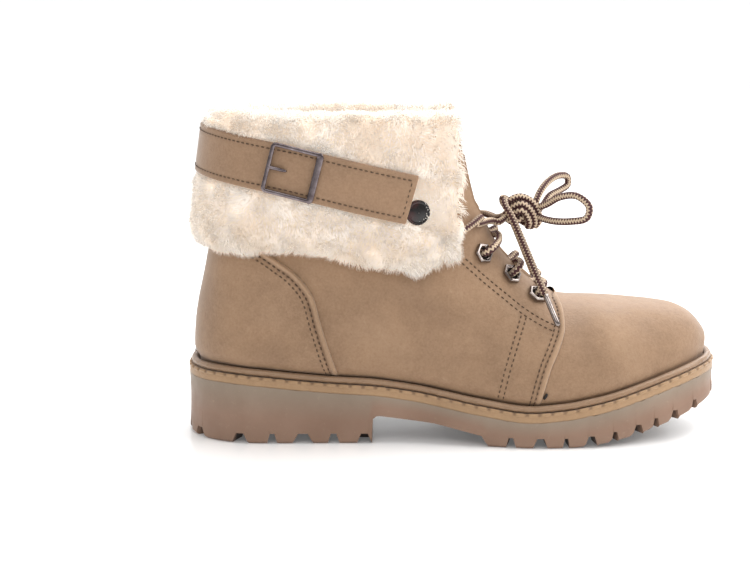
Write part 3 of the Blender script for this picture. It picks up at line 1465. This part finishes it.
def panels():
    strips, tones, threads = [], [], []
    for side in (-1.0, 1.0):
        quarter = trimmed(QUARTER_CURVE, 1.0, 71.0)
        counter = trimmed(COUNTER_CURVE, 1.0, 104.0)
        counter = counter[counter[:, 0] > 9]
        for curve, step in ((quarter, QUARTER_STEP), (counter, COUNTER_STEP)):
            p, f, tone = overlay(curve, side, step, 6.4)
            strips.append((p, f))
            tones.append(tone)
        for curve, step, first in ((quarter, QUARTER_STEP, 2.7), (counter, COUNTER_STEP, 3.3)):
            for k in (0, 1):
                threads.append(seam_on_side(curve, side, step * 0.95 + 0.12, reach=first + 2.2 * k))
        for rows in (EYESTAY_SEAM, MID_SEAM):
            curve = trimmed(plain_curve(rows), 3.0)
            for k in (0, 1):
                threads.append(seam_on_side(curve, side, QUARTER_STEP, reach=2.6 * k - 1.3))
    points, faces = combine(strips)
    obj = make_mesh("panel_edges", points, faces, quarter_paint)
    add_tone(obj, "crease", np.concatenate(tones))
    points, faces = combine(threads)
    obj = make_mesh("seams", points, faces, dark_thread)


def marks():
    """The stitched dart up the back, and the dark nick at the foot of the quarter's edge."""
    z = np.linspace(39, 68, 60)
    y = mix(-2.0, 2.0, (z - 39) / 29)
    path = np.stack([back_x(z) - COUNTER_STEP - 0.02, y, z], -1)
    normals = np.tile([-1.0, 0, 0], (60, 1))
    obj = make_mesh("dart_seam", *stitch_row(path, normals, 2.9, 1.9, 0.7), dark_thread)
    curve = np.array([(179.4, 24.6), (180.4, 26.4), (181.2, 28.0)])
    points = out_point(curve[:, 0], curve[:, 1], -1.0, np.full(3, 0.75))
    normals = side_normal(curve[:, 0], curve[:, 1], -1.0)
    obj = make_mesh("nick", *stitch_row(points, normals, 4.0, 3.6, 1.5, 0.3), hole_paint)


upper()
panels()
marks()

# Tongue
TONGUE_ROWS = [
    (9.3, 0.4, 0.62), (10.3, 0.9, 0.75), (12, 1.0, 0.9), (14, 1.0, 1.0), (15.4, 1.0, 1.0), (17.2, 0.95, 0.95),
    (20, 0.6, 0.85), (22, 0.68, 0.75), (24.4, 1.0, 0.7),
]
tongue_drop, tongue_wide = columns(TONGUE_ROWS, 2)


def tongue():
    turns = np.linspace(TONGUE_ROWS[0][0], TONGUE_ROWS[-1][0], 90)
    half = TONGUE_HALF * tongue_wide(turns) * mix(0.6, 1, np.sqrt(np.clip((turns[-1] - turns) / 1.4, 0, 1)))
    drop = TONGUE_DROP * tongue_drop(turns)
    profile = []
    for share in np.linspace(-1, 1, 41):
        profile.append((share, -(abs(share) ** 12) * 0.8))
    for share in np.linspace(1, -1, 41):
        profile.append((share, -TONGUE_THICKNESS + (abs(share) ** 12) * 0.8))
    profile = np.array(profile)
    y = half[:, None] * profile[None, :, 0]
    out = -drop[:, None] + profile[None, :, 1]
    points = ridge_point(turns[:, None], y, out)
    points = points + 0.2 * noise3(points, 9)[..., None] * [0.5, 0, 0.7]
    count = len(profile)
    faces = grid_faces(len(turns), count, close_cols=True)
    caps = []
    for row, flip in ((0, False), (len(turns) - 1, True)):
        a = row * count + np.arange(40)
        b = row * count + count - 1 - np.arange(40)
        quad = np.stack([a, b, b - 1, a + 1], -1)
        caps.append(quad[:, ::-1] if flip else quad)
    obj = make_mesh("tongue_leather", points.reshape(-1, 3), np.concatenate([faces, *caps]), quarter_paint)
    add_tone(obj, "crease", np.full(points.size // 3, 0.08))
    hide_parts("tongue")
    threads = []
    for side in (-1, 1):
        keep = turns > 12
        width = side * (half[keep] - 2.4)
        path = ridge_point(turns[keep], width, -drop[keep] + 0.1)
        above = ridge_point(turns[keep], width, -drop[keep] + 1.1)
        threads.append(stitch_row(path, unit(above - path), 2.8, 1.9, 0.6))
    obj = make_mesh("tongue_seam", *combine(threads), light_thread)


tongue()

# Collar
HEM_ROWS = [
    (0.0, 0), (0.4, 0.06), (0.56, 0.24), (0.7, 0.53), (0.86, 0.86), (0.92, 1), (0.965, 0.84), (1.0, 0.45),
]
hem_dip = columns(HEM_ROWS, 1)[0]


def hem_height(x):
    return CUFF_HEM - CUFF_DIP * hem_dip(x / CUFF_FRONT)


def strap_height(x):
    start = back_x(RIM_HEIGHT)
    return STRAP_BACK_HEIGHT - STRAP_DROP * (x - start) / (STRAP_END - start)


class Shaft:
    """The shaft as a table: a place by turn and height, moved straight out in plan."""

    def __init__(self, front):
        self.turns = np.linspace(-1.08, 1.08, 217)
        self.heights = np.linspace(84, 172, 23)
        turn, z = np.meshgrid(self.turns, self.heights, indexing="ij")

        def at(t):
            x = mix(back_x(z), front, 1 - np.cos(np.abs(t) * np.pi / 2))
            return side_point(x, z, np.where(t < 0, -1.0, 1.0))

        along = at(turn + 0.02) - at(turn - 0.02)
        along[..., 2] = 0
        along = unit(along)
        self.table = np.concatenate([at(turn), along], -1)

    def read(self, turn, z):
        i = np.clip((turn - self.turns[0]) / (self.turns[1] - self.turns[0]), 0, len(self.turns) - 1.001)
        j = np.clip((z - self.heights[0]) / (self.heights[1] - self.heights[0]), 0, len(self.heights) - 1.001)
        i0, j0 = i.astype(int), j.astype(int)
        a, b = (i - i0)[..., None], (j - j0)[..., None]
        t = self.table
        low = mix(t[i0, j0], t[i0 + 1, j0], a)
        high = mix(t[i0, j0 + 1], t[i0 + 1, j0 + 1], a)
        return mix(low, high, b)

    def out(self, turn, z, out):
        turn, z, out = np.broadcast_arrays(turn, z, out)
        row = self.read(turn, z)
        x = row[..., 0] - row[..., 4] * out
        y = row[..., 1] + row[..., 3] * out
        return np.stack([x, y, z], -1)

    def directions(self, turn, z):
        row = self.read(turn, z)
        along = row[..., 3:6]
        outward = np.stack([-along[..., 1], along[..., 0], np.zeros_like(z)], -1)
        return outward, along


CUFF_SHAFT = Shaft(CUFF_FRONT)
STRAP_SHAFT = Shaft(STRAP_END)
LINING_SHAFT = Shaft(CUFF_FRONT - 10)


def fold_section(turn):
    """Outer path of the fold: distances out of the shaft and heights, from under the hem inwards."""
    x = mix(back_x(RIM_HEIGHT), CUFF_FRONT, 1 - math.cos(abs(turn) * math.pi / 2))
    thick = CUFF_THICKNESS
    hem = float(hem_height(x))
    low = float(strap_height(x)) - STRAP_WIDTH / 2 - 1.5
    high = float(strap_height(x)) + STRAP_WIDTH / 2 + 1.5
    reach = min(1, max(0, (STRAP_END + 14 - x) / 10))
    channel = mix(1.02 * thick, CUFF_CHANNEL - 0.3, reach)
    behind = COUNTER_STEP + 1.0
    inside = -WALL - 1.2
    shallow = min(1, max(0.3, (low - hem) / 12))
    rows = [
        (behind, hem + 14), (behind, hem + 3.5), (0.4 * thick, hem + 0.2), (0.62 * thick, hem - 0.2),
        (0.92 * thick, hem + 3 * shallow), (1.02 * thick, hem + 9 * shallow), (1.04 * thick, low - 2.2),
        (channel, low - 0.2), (channel, low + 4), (channel, high - 4), (channel, high + 0.2),
        (1.02 * thick, high + 3 * min(1, max(0.3, (CUFF_TOP - high) / 12))),
        (0.88 * thick, CUFF_TOP - 3), (0.5 * thick, CUFF_TOP), (inside + 1, CUFF_TOP + 0.4),
        (inside - 4, CUFF_TOP - 2.5), (inside - 5.2, CUFF_TOP - 8), (inside - 5.4, RIM_HEIGHT - 12),
        (inside - 4.5, RIM_HEIGHT - 24), (inside - 1, RIM_HEIGHT - 28),
    ]
    return np.array(rows), reach


FOLD_TURNS = np.linspace(-1, 1, 181)
FOLD_STEPS = 150


def fold_table():
    table = []
    for turn in FOLD_TURNS:
        rows, reach = fold_section(turn)
        place = np.linspace(0, len(rows) - 1, FOLD_STEPS)
        path = curve_through(np.column_stack([rows, np.zeros(len(rows))]), FOLD_STEPS - 1)[:, :2]
        # Fur is short where the strap lies on it
        low = np.interp(place, [6.4, 7.1, 9.9, 10.6], [1, 0, 0, 1], left=1, right=1)
        bare = 1 - (1 - low) * reach
        table.append(np.column_stack([path, bare]))
    return np.array(table)


FOLD = fold_table()


def fold_at(turn, share):
    """Distance out, height and fur length share of the fold at turns and shares of its path."""
    i = np.clip((turn + 1) / 2 * (len(FOLD_TURNS) - 1), 0, len(FOLD_TURNS) - 1.001)
    j = np.clip(share * (FOLD_STEPS - 1), 0, FOLD_STEPS - 1.001)
    i0, j0 = i.astype(int), j.astype(int)
    a, b = (i - i0)[..., None], (j - j0)[..., None]
    low = mix(FOLD[i0, j0], FOLD[i0 + 1, j0], a)
    high = mix(FOLD[i0, j0 + 1], FOLD[i0 + 1, j0 + 1], a)
    return mix(low, high, b)


FOLD_END = 1.006


def fold_point(turn, share):
    """A point of the fold's skin, with its front ends rounded, and its outward direction."""
    past = np.clip((np.abs(turn) - FOLD_END) / 0.03, 0, 1)
    at = np.sign(turn) * (np.minimum(np.abs(turn), FOLD_END) + 0.018 * np.sin(past * np.pi / 2))
    row = fold_at(np.clip(at, -1, 1), share)
    ahead = fold_at(np.clip(at, -1, 1), np.clip(share + 0.012, 0, 1))
    behind = fold_at(np.clip(at, -1, 1), np.clip(share - 0.012, 0, 1))
    slope = unit(ahead[..., :2] - behind[..., :2])
    normal = np.stack([slope[..., 1], -slope[..., 0]], -1)
    thin = 1 - np.cos(past * np.pi / 2)
    out = mix(row[..., 0], 3.5, thin * 0.8)
    point = CUFF_SHAFT.out(at, row[..., 1], out)
    outward, along = CUFF_SHAFT.directions(at, row[..., 1])
    direction = outward * normal[..., :1] + np.array([0, 0, 1.0]) * normal[..., 1:]
    front = along * np.sign(turn)[..., None] * (past * 1.6)[..., None]
    return point, unit(direction + front), row[..., 2], along


def cuff_base():
    turns = np.concatenate([
        np.linspace(-FOLD_END - 0.03, -FOLD_END, 9), np.linspace(-FOLD_END + 0.005, FOLD_END - 0.005, 240),
        np.linspace(FOLD_END, FOLD_END + 0.03, 9),
    ])
    share = np.linspace(0, 1, 150)
    turn, share = np.meshgrid(turns, share, indexing="ij")
    point, direction, bare, _ = fold_point(turn, share)
    lump = 0.7 * noise3(point, 8.0, 1) + 0.3 * noise3(point, 3.6, 2)
    point = point + direction * (lump * (0.15 + 0.85 * bare))[..., None]
    rise = 0.45 + 0.35 * np.clip(lump, -1, 1)
    faces = grid_faces(len(turns), share.shape[1], flip=True)
    count = share.shape[1]
    ends = []
    for row, flip in ((0, True), (len(turns) - 1, False)):
        a = row * count + np.arange(count // 2 - 1)
        b = row * count + count - 1 - np.arange(count // 2 - 1)
        quad = np.stack([a, b, b - 1, a + 1], -1)
        ends.append(quad[:, ::-1] if flip else quad)
    obj = make_mesh("cuff_hide", point.reshape(-1, 3), np.concatenate([faces, *ends]), fur_paint)
    add_tone(obj, "rise", (rise * (0.4 + 0.6 * bare)).ravel())
    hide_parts("cuff")


def fur(name, count, low_turn, high_turn, low_share, high_share, seed):
    """Curled tapered blades on the fold, in clumps."""
    r = np.random.default_rng(seed)
    turn = r.uniform(low_turn, high_turn, count)
    share = r.uniform(low_share, high_share, count)
    root, normal, bare, _ = fold_point(turn, share)
    clump = noise3(root, 6.5, 5)
    swirl = np.stack([noise3(root, 8.0, 6), noise3(root, 8.0, 7), noise3(root, 8.0, 8)], -1)
    fine = np.stack([noise3(root, 2.6, 9), noise3(root, 2.6, 10), noise3(root, 2.6, 11)], -1)
    loose = r.normal(0, 0.22, (count, 3))
    down = np.array([0, 0, -1.0]) * np.clip(0.55 - 0.5 * (share > 0.72), 0, 1)[:, None]
    lean = unit(normal + 0.5 * swirl + 0.4 * fine + loose + down * 0.7)
    lean = unit(lean + normal * np.clip(0.25 - (lean * normal).sum(-1, keepdims=True), 0, None) * 2)
    length = (3.4 + 0.9 * clump + r.uniform(-0.8, 0.8, count)) * (0.16 + 0.84 * bare)
    hem_tuft = np.exp(-((share - 0.13) / 0.05) ** 2)
    front_tuft = np.clip((np.abs(turn) - 0.99) / 0.02, 0, 1)
    length = length * (1 + 0.65 * hem_tuft + 0.55 * front_tuft)
    lift = 0.7 * noise3(root, 8.0, 1) + 0.3 * noise3(root, 3.6, 2)
    root = root + normal * ((lift - 0.4) * (0.15 + 0.85 * bare))[:, None]
    bend = unit(np.cross(lean, swirl + loose)) * (0.35 * length)[:, None]
    mid = root + lean * (0.55 * length)[:, None] + bend * 0.5
    tip = root + unit(lean + 0.25 * swirl) * length[:, None] - bend * 0.1
    tip += np.array([0, 0, -0.12]) * length[:, None]
    flat = unit(np.cross(lean, normal + r.normal(0, 0.16, (count, 3))))
    width = (0.22 + 0.11 * r.random(count))[:, None]
    points = np.stack([
        root - flat * width, root + flat * width, mid - flat * width * 0.85, mid + flat * width * 0.85, tip,
    ], 1)
    corners = np.array([[0, 1, 3], [0, 3, 2], [2, 3, 4]])
    a, b, c = (points[:, corners[:, k]] for k in range(3))
    turned_over = (np.cross(b - a, c - a) * normal[:, None]).sum(-1) < 0
    faces = np.arange(count)[:, None, None] * 5 + corners
    faces[turned_over] = faces[turned_over][:, ::-1]
    faces = faces.reshape(-1, 3)
    obj = make_mesh(name, points.reshape(-1, 3), faces, fur_paint)
    soft = unit(normal + 0.45 * lean + r.normal(0, 0.14, (count, 3)))
    obj.data.normals_split_custom_set_from_vertices(np.repeat(soft, 5, axis=0).tolist())
    tint = r.uniform(-0.12, 0.12, count)
    rise = np.stack([0.4 + tint, 0.4 + tint, 0.75 + tint, 0.75 + tint, 1.0 + tint * 0.5], 1)
    rise = rise + 0.12 * clump[:, None]
    add_tone(obj, "rise", np.clip(rise, 0, 1).ravel())
    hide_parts("cuff")


BLADES = 48000
cuff_base()
fur("fur_outer", BLADES, -1.035, 0.0, 0.04, 0.7, 11)
fur("fur_inner", BLADES, 0.0, 1.035, 0.04, 0.7, 12)
fur("fur_lining", BLADES, -1.035, 1.035, 0.64, 0.98, 13)

# Strap, buckle, button and eyelets
STRAP_OUT = CUFF_CHANNEL + STRAP_CLEARANCE


def strap_skin(turn, out, up):
    x = mix(back_x(RIM_HEIGHT), STRAP_END, 1 - np.cos(np.abs(turn) * np.pi / 2))
    z = strap_height(x)
    slope = np.abs(turn) * STRAP_DROP / (STRAP_END - back_x(RIM_HEIGHT))
    point = STRAP_SHAFT.out(turn, z + up, out)
    return point + np.stack([up * slope, 0 * slope * up, 0 * slope * up], -1)


def strap():
    half = STRAP_WIDTH / 2
    top = STRAP_OUT + STRAP_THICKNESS
    section = [
        (STRAP_OUT + 0.2, -half), (top - 0.9, -half), (top - 0.45, -half + 0.12), (top - 0.1, -half + 0.5),
        (top + 0.02, -half + 1.1), (top - 0.1, -half + 2.0),
    ]
    for share in np.linspace(-0.78, 0.78, 21):
        section.append((top + 0.05 - 0.25 * (abs(abs(share) - 0.74) < 0.05), share * half))
    section += [(o, -u) for o, u in section[:6][::-1]]
    section += [(STRAP_OUT, half * 0.8), (STRAP_OUT, 0), (STRAP_OUT, -half * 0.8)]
    out = np.array([row[0] for row in section])
    up = np.array([row[1] for row in section])
    turns = np.concatenate([[-1.0, -0.998], np.linspace(-0.995, 0.995, 300), [0.998, 1.0]])
    thin = np.ones(len(turns))
    thin[0] = thin[-1] = 0.86
    turn = np.broadcast_to(turns[:, None], (len(turns), len(out)))
    reach = STRAP_OUT + (out[None] - STRAP_OUT) * thin[:, None]
    rise = np.broadcast_to(up[None] * (0.97 + 0.03 * (thin[:, None] == 1)), turn.shape)
    points = strap_skin(turn, reach, rise)
    points = points + 0.12 * noise3(points, 12)[..., None] * [0.4, 1, 0]
    count = len(out)
    faces = grid_faces(len(turns), count, close_cols=True)
    polys = faces.tolist()
    polys.append(list(range(count)))
    polys.append([(len(turns) - 1) * count + k for k in range(count)][::-1])
    obj = make_mesh("strap_band", points.reshape(-1, 3), polys, strap_paint)
    mark_sharp(obj, 50)
    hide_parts("strap")
    threads = []
    for up_share in (-0.76, 0.76):
        t = np.linspace(-0.985, 0.985, 500)
        path = strap_skin(t, np.full(500, top), np.full(500, up_share * half))
        outward, _ = STRAP_SHAFT.directions(t, strap_height(STRAP_END) + 0 * t)
        threads.append(stitch_row(path, outward, 2.7, 1.8, 0.6))
    for end in (-0.985, 0.985):
        u = np.linspace(-0.7, 0.7, 30) * half
        path = strap_skin(np.full(30, end), np.full(30, top), u)
        outward, _ = STRAP_SHAFT.directions(np.full(30, end), np.full(30, 130.0))
        threads.append(stitch_row(path, outward, 2.7, 1.8, 0.6))
    obj = make_mesh("strap_seam", *combine(threads), dark_thread)


strap()


def strap_frame(x):
    start = back_x(RIM_HEIGHT)
    turn = -(2 / math.pi) * math.acos(1 - (x - start) / (STRAP_END - start))
    z = float(strap_height(x))
    place = STRAP_SHAFT.out(np.array(turn), np.array(z), np.array(STRAP_OUT + STRAP_THICKNESS + GAP))
    slope = math.atan(STRAP_DROP / (STRAP_END - start))
    c, s = math.cos(slope), math.sin(slope)
    return place, np.array([c, 0, -s]), np.array([s, 0, c]), np.array([0, -1.0, 0])


def buckle():
    place, along, up, out = strap_frame(BUCKLE_AT)
    radius = BUCKLE_BAR * 0.6
    corner = []
    w, h = BUCKLE_WIDTH / 2 - BUCKLE_BAR / 2, BUCKLE_HEIGHT / 2 - BUCKLE_BAR / 2
    for cx, cy, start in ((w, -h, -90), (w, h, 0), (-w, h, 90), (-w, -h, 180)):
        for a in np.radians(np.linspace(start, start + 90, 9)):
            corner.append((cx - math.copysign(radius, cx) + radius * math.cos(a),
                           cy - math.copysign(radius, cy) + radius * math.sin(a)))
    loop = np.array(corner)
    dense = []
    for a, b in zip(loop, np.roll(loop, -1, 0)):
        steps = max(1, int(np.hypot(*(b - a)) / 1.0))
        for k in range(steps):
            dense.append(a + (b - a) * k / steps)
    loop = np.array(dense)
    along_path = unit(np.roll(loop, -1, 0) - np.roll(loop, 1, 0))
    normal = np.stack([along_path[:, 1], -along_path[:, 0]], -1)
    section = []
    for a in np.linspace(0, 2 * np.pi, 17)[:-1]:
        c, s = math.cos(a), math.sin(a)
        section.append((math.copysign(abs(c) ** 0.55, c), math.copysign(abs(s) ** 0.55, s)))
    rings = []
    for p, n in zip(loop, normal):
        wide = BUCKLE_BAR / 2 * (1.3 if p[0] > w - 1.2 else 0.78)
        ring = []
        for c, s in section:
            uv = p + n * c * wide
            ring.append(place + along * uv[0] + up * uv[1] + out * (BUCKLE_THICKNESS / 2 * (1 + s)))
        rings.append(ring)
    faces = grid_faces(len(loop), 16, close_rows=True, close_cols=True)
    obj = make_mesh("buckle_frame", np.array(rings).reshape(-1, 3), faces, metal_dark)
    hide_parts("buckle")
    start = -BUCKLE_WIDTH / 2 + BUCKLE_BAR * 0.4
    steps = np.linspace(0, PRONG_LENGTH + 1.2, 14)
    path = place + np.outer(start + steps, along) + np.outer(1.3 - 0.5 * (steps / steps[-1]) ** 2, out)
    points, faces, _ = sweep(path, np.interp(steps, [0, 7, 9.2], [0.95, 0.85, 0.6]), 12)
    obj = make_mesh("prong", points, faces, metal_dark)
    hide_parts("buckle_prong")


def turned(place, normal, points):
    spin = Vector((0, 0, 1)).rotation_difference(Vector(normal))
    return np.array([spin @ Vector(p) for p in points]) + place


def button():
    start = back_x(RIM_HEIGHT)
    turn = -(2 / math.pi) * math.acos(1 - (BUTTON_AT - start) / (CUFF_FRONT - start))
    t, z = np.array(turn), np.array(BUTTON_HEIGHT)
    place = CUFF_SHAFT.out(t, z, np.array(CUFF_CHANNEL - BUTTON_RISE))
    normal = unit(CUFF_SHAFT.out(t, z, np.array(1.0)) - CUFF_SHAFT.out(t, z, np.array(0.0)))
    radius = BUTTON_DIAMETER / 2
    profile = [(0.92, 0), (1.0, 0.35), (0.99, 0.6), (0.93, 0.78), (0.84, 0.82), (0.78, 0.76), (0.7, 0.78),
               (0.5, 0.93), (0.25, 1.0), (0.02, 1.02)]
    angle = np.linspace(0, 2 * np.pi, 49)[:-1]
    circle = np.stack([np.cos(angle), np.sin(angle)], -1)
    rows = [np.column_stack([circle * r * radius, np.full(48, h * BUTTON_RISE + 1.2)]) for r, h in profile]
    points = turned(place, normal, np.concatenate(rows))
    obj = make_mesh("button_dome", points, grid_faces(len(profile), 48, close_cols=True), button_paint())
    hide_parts("button")


def eyelets():
    out = QUARTER_STEP + GAP * 2 + EYELET_THICKNESS / 2
    hexes, holes, nodes = [], [], []
    across = EYELET_ACROSS / 2
    for side, word in ((-1.0, "outer"), (1.0, "inner")):
        for i, (x, z) in enumerate(EYELETS):
            place = out_point(np.array(x), np.array(z), np.array(side), np.array(out))
            normal = side_normal(np.array(x), np.array(z), np.array(side))
            angle = np.radians(np.arange(0, 360, 7.5))
            hexed = across / np.cos(np.mod(angle, np.pi / 3) - np.pi / 6)
            rows = []
            t = EYELET_THICKNESS / 2
            for mixer, radius, h in (
                (1, 1.0, -t), (1, 1.0, t * 0.45), (1, 0.9, t), (0.5, 0.86, t * 1.05), (0, 0.9, t * 0.85),
                (0, 0.76, t * 0.3), (0, 0.7, -t * 0.5), (0, 0.68, -t),
            ):
                circle = across * 0.86
                r = (hexed * mixer + circle * (1 - mixer)) * radius
                rows.append(np.stack([np.sin(angle) * r, np.cos(angle) * r, np.full(len(angle), h)], -1))
            faces = grid_faces(8, len(angle), close_cols=True, flip=True)
            hexes.append((turned(place, normal, np.concatenate(rows)), faces))
            disc = [np.stack([np.sin(angle) * r, np.cos(angle) * r, np.full(len(angle), h)], -1)
                    for r, h in ((across * 0.66, -t * 0.3), (across * 0.5, -t - 0.5), (0.05, -t - 0.6))]
            faces = grid_faces(3, len(angle), close_cols=True, flip=True)
            holes.append((turned(place, normal, np.concatenate(disc)), faces))
            nodes.append(f"eyelet_{word}_{i + 1}")
    obj = make_mesh("eyelet_rings", *combine(hexes), metal_tip)
    mark_sharp(obj, 30)
    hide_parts(*nodes)
    obj = make_mesh("eyelet_holes", *combine(holes), hole_paint)


buckle()
button()
eyelets()
